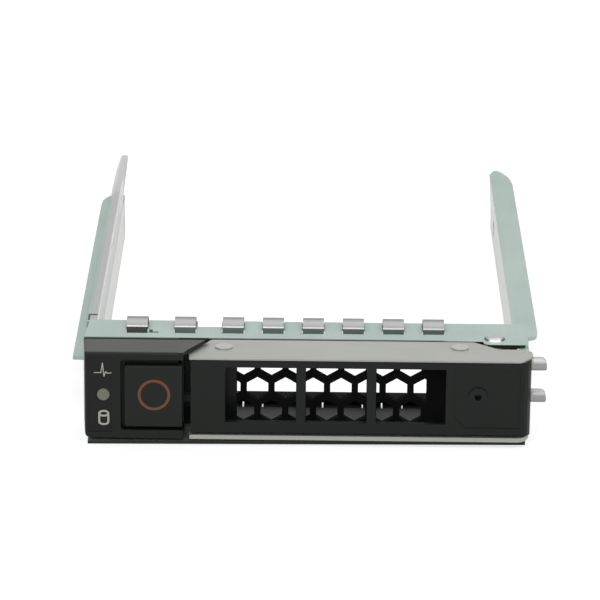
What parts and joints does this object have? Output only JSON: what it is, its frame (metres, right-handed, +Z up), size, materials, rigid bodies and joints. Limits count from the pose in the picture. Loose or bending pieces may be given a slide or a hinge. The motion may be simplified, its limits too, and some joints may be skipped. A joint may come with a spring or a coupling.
{
  "type": "hot swap drive caddy",
  "caption": "Sheet-metal carrier tray for a 2.5-inch drive, with a latched swing handle, honeycomb screen, light pipe and side screw rails.",
  "frame": {"origin": "middle of the caddy's length and width, on the plane of its underside", "axes": "+X to the right seen from the front, +Y from the front face to the rear, +Z up"},
  "size_m": [0.0786, 0.131, 0.0161],
  "materials": {
    "zinc_sheet": "satin",
    "handle_steel": "satin",
    "spring_steel": "polished",
    "black_plastic": "matt",
    "button_plastic": "matt",
    "ring_paint": "matt",
    "inlay": "satin",
    "lens": "frosted",
    "clear_pipe": "milky clear",
    "rivet_steel": "satin"
  },
  "bodies": {
    "tray": {"rail_tray": "zinc_sheet", "top_bracket": "zinc_sheet", "emi_strip_top": "spring_steel", "emi_strip_bottom": "spring_steel", "front_housing": "black_plastic", "housing_rivets": "rivet_steel", "cap_label": "inlay", "status_lens": "lens", "light_pipe": "clear_pipe", "latch_cover": "black_plastic", "pivot_pin": "rivet_steel", "pivot_washer": "rivet_steel", "button_spring": "spring_steel", "latch_spring": "spring_steel"},
    "button": {"release_button": "button_plastic", "button_ring": "ring_paint"},
    "latch": {"latch_slider": "black_plastic"},
    "handle": {"handle_frame": "handle_steel", "handle_fascia": "black_plastic", "fascia_rivet": "black_plastic", "pivot_sleeve": "rivet_steel"}
  },
  "joints": [
    {"name": "handle_swing", "type": "hinge", "parent": "tray", "child": "handle", "pos_m": [0.0308, -0.0535, 0.008], "axis": [0, 0, 1], "range_deg": [0, 55]},
    {"name": "button_press", "type": "slide", "parent": "tray", "child": "button", "axis": [0, 1, 0], "range_m": [0, 0.0015], "stiffness_N_per_m": 400, "springref_m": -0.001, "deforming": ["button_spring"]},
    {"name": "latch_slide", "type": "slide", "parent": "tray", "child": "latch", "axis": [-1, 0, 0], "range_m": [0, 0.0015], "deforming": ["latch_spring"]}
  ],
  "couplings": [
    {"joint": "latch_slide", "follows": "button_press", "ratio": 1}
  ]
}
